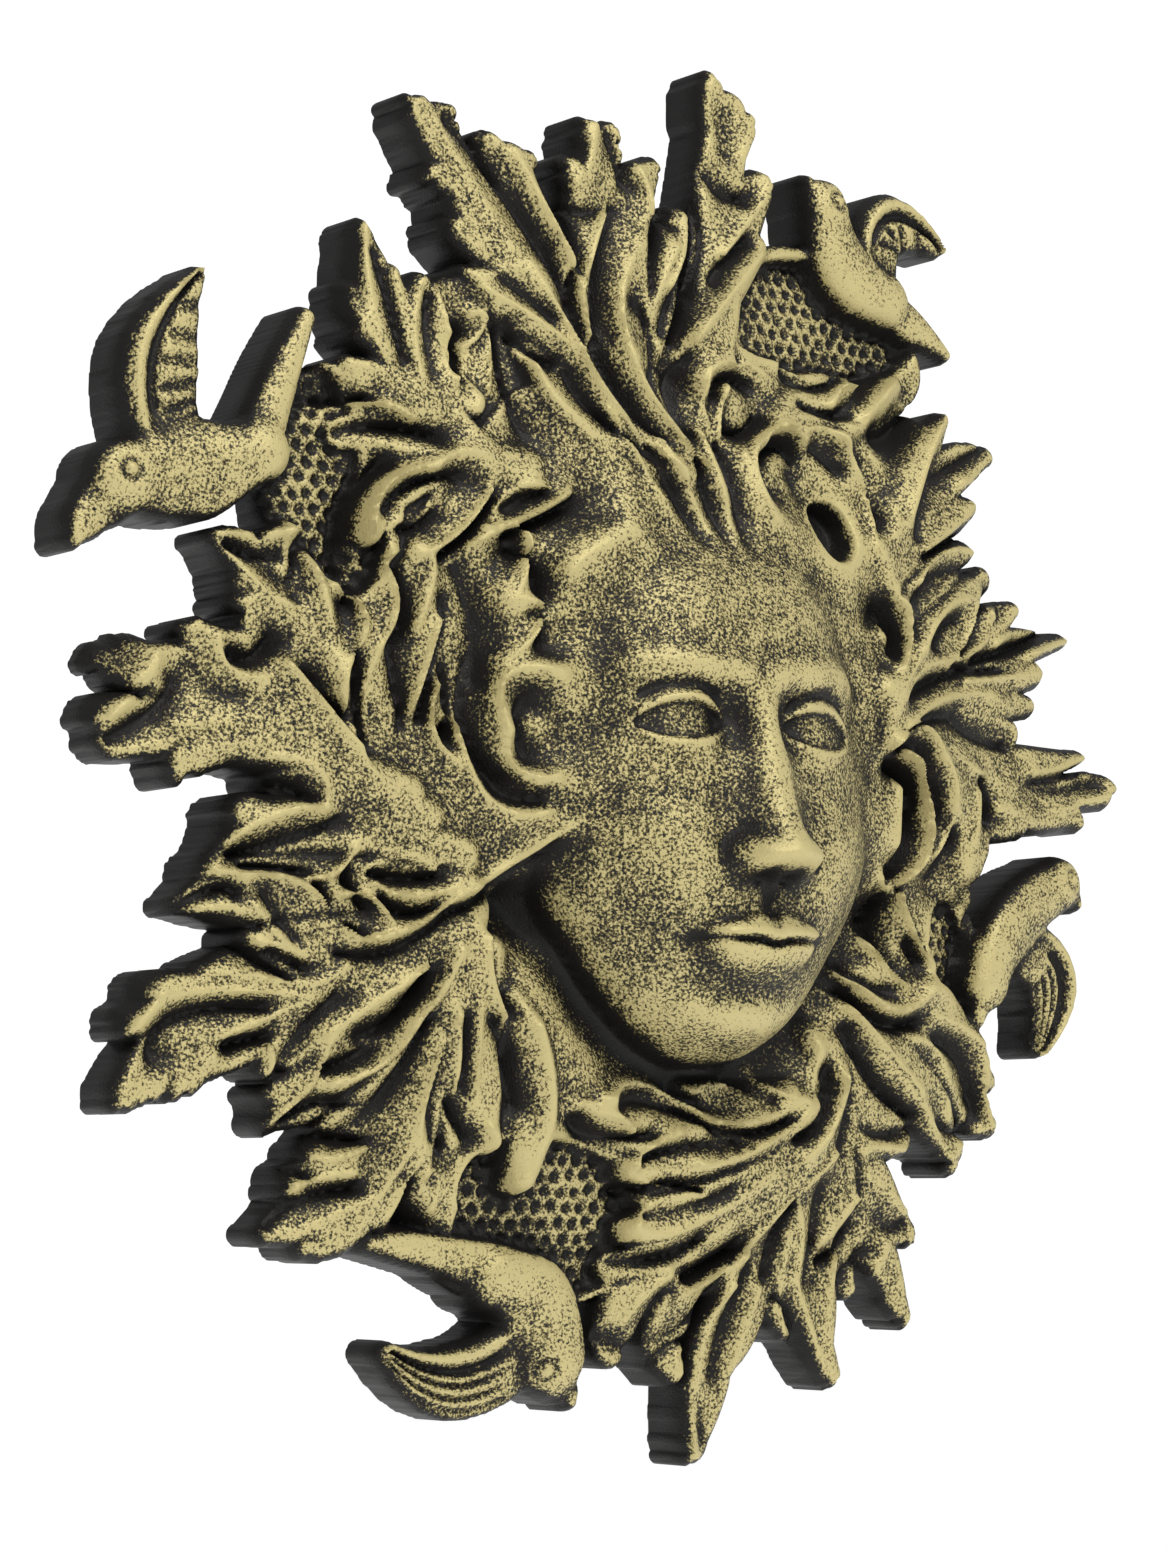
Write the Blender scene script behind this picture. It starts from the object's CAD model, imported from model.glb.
import bpy
import numpy as np
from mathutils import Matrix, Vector
from mathutils.geometry import delaunay_2d_cdt


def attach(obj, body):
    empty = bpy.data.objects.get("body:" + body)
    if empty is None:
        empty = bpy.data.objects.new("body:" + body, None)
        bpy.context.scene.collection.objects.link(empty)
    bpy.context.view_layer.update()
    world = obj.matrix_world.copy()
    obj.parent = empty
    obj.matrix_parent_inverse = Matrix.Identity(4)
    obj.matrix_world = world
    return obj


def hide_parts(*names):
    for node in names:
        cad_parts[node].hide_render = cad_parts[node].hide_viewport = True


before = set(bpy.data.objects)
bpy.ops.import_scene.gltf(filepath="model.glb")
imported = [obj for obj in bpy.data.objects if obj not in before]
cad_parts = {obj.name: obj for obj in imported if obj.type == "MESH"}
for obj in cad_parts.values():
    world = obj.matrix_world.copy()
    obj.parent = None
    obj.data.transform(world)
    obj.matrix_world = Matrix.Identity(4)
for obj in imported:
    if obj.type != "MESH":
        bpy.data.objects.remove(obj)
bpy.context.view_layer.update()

# all sizes below are in millimetres; x runs to the viewer's right, z up the wall, height out of the wall
plaque = {
    "gridStep": 0.6,      # spacing of the points the relief is worked out on
    "left": -170, "right": 165, "low": -179, "high": 187,
    "tipDepth": 13, "innerGain": 13, "gainFrom": 165, "gainOver": 90, "oval": 0.93,
    "floorDrop": 1.5,     # foliage between the lobes lies this far under the slab
    "netDrop": 5.5,       # netted ground lies this far under the slab
    "sideDraft": 1.5, "edgeRound": 2.4, "shoulder": 5.0,
    "foldPower": 1.5, "foldCore": 0.35, "foldReach": 20, "foldRest": 14.0, "foldGain": 1.45, "rimLift": 0.9,
    "curveSteps": 9,
    "sideRings": [0.66, 0.33, 0],
    "keep": 0.44,  # share of the faces that thinning keeps
}
head = {"x": 6, "z": 8, "halfWidth": 52, "up": 54.5, "down": 82.5, "rim": 17, "dome": 31, "climb": 7.5}
net = {"pitch": 4.3, "radius": 1.35, "depth": 1.3, "wander": 0.5}
leaves = {  # lift, then each lobe: start, bend, tip, half width at the start, at its widest, at the tip
    "top": {"lift": 1.5, "lobes": [
        [8.5, 96, 19, 132, 24, 166, 6, 6.8, 5.5],
        [21, 165, 19.5, 171, 18.8, 174.5, 4.5, 3, 1.0],
        [24, 156, 28, 162, 30.5, 165, 5, 4, 1.8],
        [5.5, 101, 17.5, 121, 33.5, 146, 5, 6, 3.5],
        [30, 146, 34.5, 149.5, 36, 150.5, 4, 3, 0.9],
        [3.5, 99, 14.5, 115, 31.5, 133, 3.5, 4.5, 2.5],
        [-9.5, 96, -1.5, 117, 5, 136, 3, 4.2, 2.2],
    ]},
    "crown": {"lift": 1, "lobes": [
        [-3.5, 71, -19.5, 106, -16.5, 149, 4, 7, 5.5],
        [-17, 149, -20, 154, -21.5, 156.2, 4.5, 3.2, 0.7],
        [-15, 150, -13, 154, -11.5, 154.5, 4.5, 3.2, 0.8],
        [-1.5, 73, -13.5, 111, -5, 143.5, 4, 6.2, 4.5],
        [-5, 144, -1, 147.5, 0, 148, 4, 2.5, 0.7],
        [-17.5, 116, -21, 132, -24.5, 140.5, 4, 5.5, 3],
        [-22, 136, -26, 143, -28, 145, 4, 3, 0.7],
    ]},
    "brow": {"lift": 1.5, "lobes": [
        [-9.5, 73, -38.5, 112, -65, 146.5, 5, 7, 6],
        [-66, 147, -70.5, 151, -73.2, 153.3, 5, 3.6, 0.7],
        [-64, 147, -62, 151, -61, 152.5, 5, 4, 1.2],
        [-56, 133, -64, 136, -68.8, 135.2, 5, 3.6, 0.6],
        [-46, 140, -50, 145.5, -52, 147.2, 4, 3, 1],
        [-9.5, 75, -33.5, 112, -44, 142, 4, 6.6, 5],
        [-43, 142, -39.5, 144, -38.5, 145, 4, 2.5, 0.9],
        [-32.5, 101, -50.5, 120, -60.5, 133, 5, 6, 2.5],
        [-52, 118, -60, 123, -63, 125, 4, 3, 0.6],
        [-25.5, 89, -44, 105, -59.5, 112.8, 4, 6, 1.0],
        [-7.5, 69, -29.5, 83, -44.5, 95, 3, 7, 2],
    ]},
    "temple": {"lift": 0.5, "lobes": [
        [-57.5, 66.5, -79, 90, -86, 118, 4, 5.8, 1.8],
        [-84, 112, -86.5, 118, -87.2, 121, 3, 2, 0.6],
        [-73.5, 85, -84.5, 98, -90.5, 105.5, 4, 4.8, 1.0],
        [-76, 88, -86, 96, -89.5, 98.5, 4, 4, 1.0],
        [-68, 78.5, -78.5, 96.5, -79.5, 110, 4, 5.5, 1.6],
        [-61.5, 81, -71, 96, -72, 109, 3, 4.8, 1.5],
        [-63.5, 70.5, -80, 80, -92, 86.5, 4, 5, 1.5],
        [-47.5, 64.5, -74, 70.5, -92.5, 71, 3, 4.5, 1.5],
        [-47.5, 67, -76, 62.5, -89, 47.5, 3, 4.2, 1.5],
    ]},
    "star": {"lift": 0, "lobes": [
        [-109, 20.5, -113.5, 36, -109, 45.5, 4, 4.6, 1],
        [-105.5, 22.5, -117.5, 37.5, -127, 43.2, 4, 4.2, 0.7],
        [-106, 12.5, -116, 25, -121.5, 28.5, 4, 4.6, 1],
        [-112, 30, -119, 33, -122, 35, 4, 3, 0.7],
        [-100, 8.5, -104, 24.5, -103.5, 38, 4, 5.5, 2],
        [-106, 8.5, -114.5, 15, -121, 20, 4, 4.6, 1.5],
    ]},
    "west": {"lift": 1, "lobes": [
        [-86, -13.5, -120.5, -1, -151.5, -1.5, 5, 7, 3.2],
        [-146, -1, -152, 1.5, -156, 0.2, 5, 3.2, 0.8],
        [-140, -2, -150, -4.5, -154, -5, 4.5, 3, 0.6],
        [-109.5, 2.5, -129.5, 9.5, -148, 13, 5, 6, 3.6],
        [-146, 12, -151, 13.5, -154, 13, 4.5, 3.4, 1],
        [-140, 10, -146, 15.5, -148.5, 17, 4.5, 3.2, 0.8],
        [-103, 6.5, -118, 13, -129, 19, 4, 6, 3.5],
        [-126, 16, -132, 20, -134.5, 21.5, 4, 3.4, 0.8],
        [-118, -3, -132, -6, -136.5, -12, 4, 4.5, 1],
        [-82.5, -13.5, -100, -5.5, -112.5, 13, 4, 6, 3],
        [-77.5, -19.5, -94, -13.5, -110.5, -11.5, 4, 6, 2.5],
    ]},
    "cheek": {"lift": 1.5, "lobes": [
        [-67.5, -27.5, -105.5, -21.5, -124, -27.5, 4, 6, 1.5],
        [-106, -22, -118, -20, -122.5, -21.5, 4, 4, 1],
        [-67.5, -35.5, -108.5, -36, -134, -40.5, 5, 7, 0.9],
        [-112, -35, -124, -32.5, -129, -33.5, 5, 3.6, 0.7],
        [-63.5, -41.5, -97.5, -47.5, -117.5, -48, 4, 6, 1.8],
        [-57.5, -39.5, -90, -37.5, -103.5, -31.5, 3, 5, 2],
    ]},
    "low": {"lift": 1, "lobes": [
        [-63.5, -48, -110.5, -57.5, -146, -66.5, 5, 6.2, 2.2],
        [-134, -62, -143, -66, -147.5, -69, 4.5, 3.2, 0.7],
        [-128, -60, -139, -59.8, -143, -61, 4, 3.2, 0.8],
        [-92.5, -60, -124, -66, -147.5, -82.5, 5, 6.6, 3],
        [-144, -80, -148, -83.5, -149.8, -85.2, 4, 2.6, 0.6],
        [-141, -79, -143, -82.5, -143.5, -83.5, 4, 3, 0.9],
        [-92.5, -62, -116, -67, -132.5, -77, 5, 7, 4.4],
        [-131, -77, -134, -81, -134.5, -82.3, 4, 3, 0.8],
        [-93, -50, -113, -53.5, -129, -55.5, 3, 4.2, 1.5],
        [-67.5, -56, -101, -67.5, -112, -76, 4, 6, 2],
        [-69.5, -58, -97.5, -78, -109, -89, 4, 6, 1.6],
        [-100, -80, -108, -82, -111, -82.5, 4, 3, 0.8],
        [-63.5, -56, -87, -72, -99.5, -75.5, 3, 5, 3],
    ]},
    "south": {"lift": 1.5, "lobes": [
        [-59.5, -52, -82.5, -84, -99, -96, 5, 6.5, 1.8],
        [-63.5, -62, -86.5, -98, -110.5, -114, 5, 7.4, 1.2],
        [-90, -98, -101, -102.5, -105, -104.5, 5, 4, 1],
        [-65.5, -66, -84.5, -103, -101, -116.5, 5, 6.6, 2],
        [-63.5, -62, -79.5, -98, -86.5, -112, 5, 6.2, 2],
        [-57.5, -50, -73, -80, -73, -104, 3, 6, 2.4],
        [-55.5, -50, -63.5, -75, -64.5, -92, 3, 4.5, 2],
        [-52.5, -47.5, -57.5, -75, -56, -92, 3, 4.8, 2],
        [-49.5, -60, -44.5, -80, -46, -101, 3, 5, 2],
    ]},
    "chin": {"lift": 2, "lobes": [
        [35, -84, 4.5, -88, -24.5, -82.5, 4, 5, 1],
        [33, -80, 18, -82, 4.5, -79.5, 2, 3.5, 1],
        [14.5, -93, -9.5, -91, -29.5, -85.5, 3, 4, 1],
        [41, -86, 10.5, -95, -14, -98.5, 4, 4.8, 1.5],
        [43, -90, 12.5, -106, -12.5, -113.5, 4, 5.5, 1.5],
        [42.5, -94, 14.5, -113, -14.5, -122.5, 4, 5.5, 2],
    ]},
    "root": {"lift": 1, "lobes": [
        [32.5, -100, 6.5, -128, 5.5, -148, 5, 6, 1.8],
        [36.5, -98, 21, -135.5, 13, -165, 6, 6.4, 2.4],
        [18, -150, 14, -163, 11.5, -168, 5, 3.4, 0.8],
        [38.5, -100, 27.5, -130, 21.5, -146, 5, 6.4, 3],
        [22, -142, 19.5, -149.5, 19.8, -151.5, 4, 3, 0.9],
        [7, -118, -9, -130, -13.5, -141, 4, 6, 4],
        [38.5, -100, 31, -120, 27.5, -135, 4, 5.5, 3],
        [45, -92, 47, -125, 55.5, -147.5, 5, 6, 2.2],
        [52, -142, 56, -149, 57.2, -151, 4, 2.8, 0.7],
        [40.5, -95, 38, -125, 44, -138.5, 4, 5.5, 1.8],
        [45, -88, 50, -120, 54, -141, 4, 5.5, 2.5],
    ]},
    "keel": {"lift": 0.5, "lobes": [
        [47, -84, 55, -112, 61, -128, 4, 5.5, 2],
        [49, -82, 66, -110, 79, -132, 5, 5.8, 2.8],
        [77, -130, 80.5, -135, 80.8, -136.5, 3.5, 2.4, 0.7],
        [49, -80, 63.5, -100, 76, -112.5, 5, 7, 4.8],
        [74, -110, 80.5, -114.5, 82, -116.5, 4.5, 3, 0.8],
    ]},
    "wing": {"lift": 1, "lobes": [
        [47, -58, 75, -75, 96.5, -93.5, 5, 7.4, 3.4],
        [94, -92, 95.5, -96.5, 94.8, -98, 4, 2.6, 0.8],
        [59, -55, 87, -67.5, 106, -85, 5, 6.6, 4],
        [104, -84, 109.5, -87, 111.2, -87.8, 4.2, 2.6, 0.7],
        [65, -54, 91, -62, 105, -74.5, 5, 6.4, 3.6],
        [103, -73, 108.5, -76, 110, -77.2, 4, 2.6, 0.7],
        [59, -52, 83, -58, 100, -65.5, 4, 6, 4],
        [45, -66, 63, -84, 75, -90, 5, 8, 4.5],
    ]},
    "east": {"lift": 1, "lobes": [
        [63, 10.5, 103, 4.5, 153.5, 1, 4, 6, 2.6],
        [148, 2, 154.5, 3.4, 157.2, 3, 4, 2.2, 0.6],
        [79, 8.5, 112, 5.5, 145, 10.8, 4, 5.2, 0.8],
        [89, 0.5, 116, -3.5, 142, -5, 4, 5.6, 2.2],
        [140, -4, 144, -6.2, 145.5, -6.8, 3.6, 2, 0.6],
        [87, -3.5, 105, -6.5, 118.5, -9, 4, 5.6, 2.6],
        [73, 6.5, 95, -3.5, 97.5, -19.5, 4, 8, 5],
    ]},
    "fan": {"lift": 1, "lobes": [
        [61, 20.5, 98, 32.5, 139, 41.6, 4, 5.6, 1.0],
        [63, 20.5, 99, 27.5, 126, 31.6, 4, 5.5, 3],
        [63, 18.5, 95, 22, 123.5, 22.8, 4, 5.2, 2],
        [63, 14.5, 93, 14.5, 115.5, 14.8, 4, 5.2, 3],
        [65, 26.5, 97, 38.5, 119.5, 48, 3, 4.8, 1.2],
        [65, 30.5, 89, 42.5, 107, 54.5, 4, 5.4, 2.6],
        [65, 36.5, 85, 52.5, 99.5, 61, 4, 5.4, 2.2],
    ]},
    "ear": {"lift": 1, "lobes": [
        [67, 50.5, 85, 64.5, 102, 73, 4, 6, 2.2],
        [67, 54.5, 89.5, 77.5, 112, 88.5, 4, 6, 1.6],
        [65, 56.5, 79, 76.5, 93.5, 94.5, 4, 6, 1.8],
        [53, 85, 66, 95, 78.5, 102.5, 2, 3.5, 1.0],
        [31, 87, 46.5, 95, 63, 100, 3, 4.2, 1.2],
    ]},
}
folds = {  # crest and furrow lines: start, bend, end, height at the start and at the end
    "brow": [
        [-62.5, 150.5, -50.5, 139, -37, 121.5, -2.2, -3.0],
        [-37, 121.5, -31.5, 109, -28.5, 98, -3.0, -3.5],
        [-46, 147, -40, 136.5, -30.5, 119.5, 1.5, 2.5],
        [-30.5, 119.5, -28.5, 109, -26.5, 101, 2.0, 0.0],
        [-67, 148.5, -57.5, 135, -47.5, 120, 1.0, 1.2],
        [-56, 111.5, -46, 115.5, -39.5, 111, 0.6, 1.5],
        [-43, 116.5, -37.5, 107, -31.5, 97, 1.5, 2.2],
        [-31.5, 97, -24.5, 84, -7.5, 69, 2.8, 2.5],
        [-51.5, 112.5, -45, 109, -38.5, 104, -1.0, -1.5],
        [-58, 109.5, -47.5, 105, -35.5, 98, 0.8, 1.8],
        [-50, 102, -44.5, 95, -37.5, 93, -2.0, -4.5],
        [-34.5, 91, -26.5, 80, -11.5, 70, -3.0, -2.0],
        [-44.5, 91, -37.5, 80, -21.5, 69, 1.5, 2.0],
        [-51, 100, -50.5, 86, -46.5, 75, -3.0, -2.0],
        [-59, 103, -54, 100, -55.5, 84, 1.5, 2.5],
        [-62.5, 98, -64, 92, -63, 87, -7.0, -6.0],
    ],
    "temple": [
        [-74, 106, -76, 95.5, -74.5, 85, 1.5, 0.8],
        [-69, 110, -66.5, 99, -65, 86, 1.8, 1.5],
        [-70.5, 105.5, -71.5, 96.5, -71, 87, -2.0, -1.5],
        [-87.5, 121, -87, 106.5, -84, 91.5, 1.5, 1.0],
        [-84, 114.5, -81, 102, -78.5, 89, -1.5, -1.5],
        [-79.5, 112.5, -78.5, 102, -77.5, 93.5, 0.8, 0.5],
        [-92, 105.5, -89.5, 98, -85, 90.5, 1.5, 1.2],
        [-103, 79, -95.5, 78.5, -87.5, 79, -4.0, -4.0],
        [-98.5, 73.5, -88.5, 78, -78, 74.5, 1.0, 1.8],
        [-93.5, 71, -83.5, 73, -71, 71.5, -5.0, -4.0],
        [-95, 38.5, -93, 52.5, -84, 63.5, -6.0, -5.0],
    ],
    "crown": [
        [-19.5, 155.5, -22.5, 146, -27, 139.5, 1.8, 1.2],
        [-14.5, 154, -12, 147, -10, 141.5, -1.5, -1.5],
        [-9.5, 153, -5.5, 143.5, -3, 135, 1.5, 2.0],
        [-19, 133, -24, 123.5, -29.5, 111, 2.0, 2.5],
        [-14.5, 135, -22, 119, -24.5, 99, -2.5, -4.0],
        [-24.5, 99, -19.5, 87, -9.5, 76, -4.0, -2.5],
        [-8, 127.5, -17.5, 113, -17.5, 97, 1.5, 3.0],
        [-17.5, 97, -11.5, 85, 1.5, 71, 3.0, 2.8],
        [-11.5, 111, -7.5, 103, -7.5, 91, -2.0, -4.0],
        [2, 127.5, -4.5, 117, -8.5, 109, 2.0, 0.5],
        [-30.5, 134.5, -24.5, 133, -18.5, 135, -3.5, -1.0],
        [-30, 117, -31.5, 107, -29.5, 98, -3.0, -3.5],
    ],
    "top": [
        [28.5, 171.5, 31.5, 163.5, 28, 155, 1.2, 1.2],
        [21.5, 166.5, 21, 160.5, 23, 155, -0.8, -1.0],
        [17, 149, 22, 145.5, 28, 144.5, -2.5, -3.0],
        [36.5, 149, 30.5, 141.5, 18.5, 128.5, 1.5, 1.0],
        [27.5, 133, 20.5, 127.5, 14.5, 121, -3.0, -2.5],
        [31, 130, 19, 119, 3.5, 104, 1.5, 2.8],
        [12, 140.5, 12.5, 129.5, 6.5, 116, -1.5, -3.0],
        [8, 139.5, 4, 126.5, -1.5, 117, 1.5, 2.0],
        [2.5, 137, 1, 135, 2, 133, -2.5, -2.0],
        [4, 121, -0.5, 113, -3.5, 105, -3.0, -3.5],
        [2.5, 99, -2.5, 89, 0.5, 79, -3.0, -3.5],
    ],
    "curls": [
        [6.5, 83, 6.5, 95, 15.5, 99, 1.5, 2.5],
        [15.5, 99, 22.5, 100, 28.5, 98, 2.2, 1.2],
        [14.5, 93, 11.5, 87, 9, 79, 1.5, 2.0],
        [10.5, 91, 14.5, 96, 23.5, 95, -3.5, -3.0],
        [15.5, 104, 24.5, 106, 33.5, 102, 1.0, 1.0],
        [14, 83, 19, 82, 25, 86, -4.0, -3.0],
        [22, 59.5, 18, 73, 24, 81, 2.5, 3.2],
        [24, 81, 31, 85, 39, 83, 3.2, 3.0],
        [26, 77, 32, 81, 38, 78, -4.5, -4.0],
        [24, 71, 27, 68, 31, 70, -3.0, -2.5],
        [37, 74, 39, 69, 42, 68, -4.0, -4.0],
        [39, 85, 50, 86, 57, 77, 2.5, 2.5],
        [57, 77, 61, 70, 60, 58.5, 2.5, 2.2],
        [44, 81, 47, 80, 52, 77, -2.0, -2.0],
        [38.5, 101, 47.5, 98, 58, 102, -4.5, -4.5],
        [63, 100, 66.5, 102, 71.5, 104.5, -5.0, -4.0],
        [50.5, 93, 55.5, 99, 61, 100, 0.8, 0.8],
        [62.5, 92, 69.5, 98, 74.5, 102.5, 1.5, 2.0],
        [40.5, 92, 48.5, 91, 56.5, 92, -3.0, -2.5],
        [38, 88, 49, 89, 60.5, 88, 1.0, 0.8],
        [69.5, 88, 77.5, 90, 85, 96.5, -4.0, -5.0],
        [65, 82, 69, 76.5, 68, 70.5, 1.0, 1.0],
        [60, 80, 61, 73, 63, 65.5, -3.0, -4.0],
        [71, 66.5, 70, 63.5, 68, 61.5, 1.5, 1.5],
    ],
    "fan": [
        [94, 97, 84.5, 85, 73, 66.5, 2.5, 3.2],
        [112, 92, 105, 91, 97, 89.5, 0.6, 0.6],
        [110.5, 90, 101, 85.5, 89.5, 79, -2.0, -2.5],
        [89.5, 79, 83, 72.5, 79, 62.5, -2.0, -1.5],
        [116, 88, 108.5, 82.5, 99, 79.5, 1.2, 1.5],
        [104.5, 75.5, 97, 69, 81, 59.5, 1.2, 1.8],
        [97.5, 65, 90, 61.5, 81, 57.5, -4.0, -2.0],
        [102, 61, 88, 59.5, 77, 50.5, 1.2, 1.8],
        [100.5, 56.5, 89, 54.5, 81, 50.5, -1.5, -2.5],
        [81, 50.5, 77, 45.5, 73, 37.5, -2.5, -3.0],
        [100, 48.5, 87, 44.5, 75, 32.5, 1.5, 2.8],
        [75, 32.5, 69, 26.5, 63, 20.5, 2.5, 2.0],
        [93, 42.5, 87, 39.5, 83, 34.5, -2.0, -2.5],
        [102, 50.5, 97, 38.5, 87, 30.5, 1.0, 1.8],
        [87, 30.5, 75, 27.5, 64, 18.5, 1.8, 1.8],
        [108, 51, 100, 40.5, 93, 33.5, -3.0, -3.5],
        [108, 46, 105, 38.5, 91, 31.5, 1.5, 1.5],
        [112.5, 47, 108.5, 43, 106, 38.5, -1.5, -1.5],
        [123.5, 47.5, 117, 43, 109.5, 37.5, 1.0, 1.0],
        [136, 44.5, 123, 39, 101, 32.5, -4.0, -4.5],
        [139.5, 41.5, 132.5, 39.5, 126.5, 37, 1.2, 1.5],
        [128.5, 32, 114, 29.5, 95, 26.5, 1.2, 1.2],
        [111.5, 31.5, 101, 30, 91, 29.5, -3.0, -3.5],
        [93, 28.5, 83, 25.5, 70, 20.5, -3.0, -3.0],
        [111.5, 22.5, 91, 22.5, 67, 12.5, 0.8, 2.0],
        [113.5, 11.5, 101, 12.5, 91, 16.5, -3.0, -3.0],
        [91, 16.5, 81, 15.5, 66, 10.5, -3.0, -3.0],
        [67, 45.5, 71, 38.5, 65, 26.5, 2.0, 2.0],
        [64, 40.5, 67, 35.5, 65, 30.5, -6.0, -6.0],
    ],
    "east": [
        [61, 6.5, 73, 13.5, 83, 5.5, 2.5, 2.5],
        [83, 5.5, 87, 0.5, 88, -6.5, 2.5, 2.0],
        [88, -6.5, 88, -12.5, 84, -18.5, 1.8, 1.2],
        [64, 4.5, 73, 8.5, 79, 2.5, -3.5, -3.5],
        [79, 2.5, 84, -7.5, 81, -18.5, -3.5, -2.5],
        [68, 5.5, 75, 0.5, 78, -8.5, 2.5, 3.5],
        [78, -8.5, 78, -18.5, 70, -26.5, 3.5, 3.0],
        [65, 2.5, 74, -2.5, 73, -12.5, -7.0, -7.0],
        [73, -12.5, 71, -19.5, 67, -24.5, -6.0, -5.0],
        [67, -3.5, 66, -9.5, 65, -17.5, 0.5, 1.0],
        [90, -13.5, 87, -19.5, 84, -24.5, -3.0, -3.0],
        [99, -2.5, 98, -13.5, 95, -23.5, 1.0, 0.5],
        [89, 6.5, 95, 4.5, 103, 2.5, 0.8, 1.0],
        [102, 1.5, 104, -2.5, 105, -8.5, -4.0, -4.0],
        [157, 2.5, 149, -0.5, 135, -4, 1.5, 1.0],
        [146, 10.5, 135, 7, 124.5, 5, 1.5, 1.5],
        [142.5, 7, 134, 4, 123, 2.5, -2.0, -1.5],
        [150.5, 4.5, 137.5, 2, 125.5, 1, -1.8, -1.0],
        [123, -9.5, 116, -6.5, 108, -5.5, 1.0, 1.0],
        [85, -27.5, 90, -30.5, 96, -31.5, -3.0, -3.0],
    ],
    "knot": [
        [52, -50, 67, -59, 82, -51, 2.5, 3.2],
        [71, -29.5, 74, -37.5, 82, -47, 2.2, 2.4],
        [82, -47, 84, -50, 82, -53, 2.0, 2.0],
        [67, -30.5, 65, -40.5, 70, -50, -6.5, -6.0],
        [74, -31.5, 77, -36.5, 80, -42.5, -2.0, -2.0],
        [75, -41.5, 76, -43.5, 78, -45.5, -3.0, -3.0],
        [62, -42.5, 68, -49, 71, -53, 1.5, 1.5],
        [54, -49, 61, -53, 66, -54, -3.0, -3.0],
        [71, -28.5, 67, -28.5, 62, -26.5, -2.0, 2.0],
        [102, -31.5, 99, -41.5, 100.5, -58, -3.0, -3.0],
    ],
    "wing": [
        [53, -59, 65, -69, 78.5, -79, 1.5, 2.5],
        [78.5, -79, 82.5, -84, 88, -90, 2.0, 1.5],
        [53, -55, 63, -62, 77, -62, -3.5, -3.0],
        [53, -64, 63, -76, 79, -85, -4.0, -4.0],
        [83, -60, 93, -62, 104, -66.5, 1.5, 1.5],
        [85, -66, 97, -70, 104, -80, -3.0, -4.0],
        [104, -80, 104.5, -84, 101.5, -88, -3.5, -2.5],
        [106.5, -70.5, 107.5, -80, 109.5, -87, 1.2, 1.4],
        [76, -66, 87.5, -71, 92, -86, 1.0, 1.0],
        [93.5, -97, 98.5, -92, 106, -89, 1.0, 1.0],
        [88.5, -87, 96, -89, 102.5, -88, -1.5, -2.0],
    ],
    "star": [
        [-128, 44, -120, 44.5, -108.5, 46, 1.5, 1.8],
        [-128, 41.5, -122, 36.5, -116.5, 31, 1.5, 1.5],
        [-124.5, 41.5, -117.5, 39.5, -111, 40, -2.5, -3.0],
        [-114, 37, -109.5, 34, -107, 39, -2.0, -2.5],
        [-122, 26.5, -116.5, 30, -110, 28, 1.0, 1.2],
        [-103.5, 37.5, -102, 33.5, -101, 26.5, 1.0, 1.0],
        [-106, 41, -106, 36, -108, 31, -2.0, -2.0],
        [-100, 41.5, -96, 35.5, -94, 30.5, -6.0, -6.0],
    ],
    "frond": [
        [-90, 43.5, -87, 57.5, -74, 63.5, 2.5, 3.0],
        [-74, 63.5, -67.5, 67.5, -59.5, 67.5, 3.0, 1.5],
        [-85, 52.5, -78, 59.5, -65.5, 62.5, -3.0, -3.0],
        [-86, 47.5, -81, 50.5, -74.5, 54.5, 0.6, 0.6],
        [-81, 48.5, -76.5, 49.5, -72.5, 52.5, -3.0, -3.0],
        [-77.5, 42.5, -67.5, 48.5, -58.5, 59.5, 2.5, 3.0],
        [-70.5, 43.5, -63.5, 49.5, -57.5, 57.5, -4.0, -4.5],
        [-60.5, 50.5, -49.5, 53.5, -38.5, 60.5, 2.5, 3.0],
        [-57.5, 54.5, -51.5, 60.5, -42.5, 61.5, 1.5, 1.5],
        [-53.5, 55.5, -48.5, 58.5, -43.5, 60.5, -1.5, -1.5],
        [-53.5, 49.5, -45.5, 53.5, -35.5, 58.5, -4.5, -4.0],
        [-40.5, 41.5, -34.5, 46.5, -23.5, 51.5, 2.5, 3.0],
        [-51.5, 45.5, -46.5, 38.5, -47.5, 24.5, -5.0, -5.0],
        [-63.5, 46.5, -49.5, 50.5, -54.5, 33.5, 2.0, 2.2],
        [-54.5, 33.5, -46.5, 30.5, -57.5, 18.5, 2.2, 2.0],
        [-66.5, 40.5, -62.5, 28.5, -62.5, 14.5, -2.5, -3.0],
        [-86, 41.5, -74.5, 42.5, -78.5, 25.5, 2.0, 1.5],
        [-83, 38.5, -80.5, 28.5, -83.5, 20.5, -3.5, -3.5],
        [-83.5, 20.5, -82.5, 12.5, -81.5, 2.5, -3.5, -2.0],
        [-87, 39.5, -84, 30.5, -89, 19.5, 2.2, 2.5],
        [-89, 19.5, -92, 9.5, -91, 0.5, 1.8, 0.5],
        [-97, 34.5, -92, 26.5, -96, 16.5, 2.5, 2.5],
        [-96, 16.5, -98, 8.5, -95, 0.5, 2.5, 2.0],
        [-72.5, 27.5, -76.5, 16.5, -80.5, 6.5, 2.0, 2.5],
        [-69.5, 32.5, -72.5, 18.5, -76.5, 4.5, -3.0, -3.0],
        [-72.5, 12.5, -74.5, 2.5, -68.5, -5.5, 1.5, 2.0],
        [-69.5, 16.5, -68.5, 6.5, -70.5, 0.5, -4.0, -5.0],
        [-68.5, 5.5, -61.5, -13.5, -47.5, -16.5, 2.2, 2.5],
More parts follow.
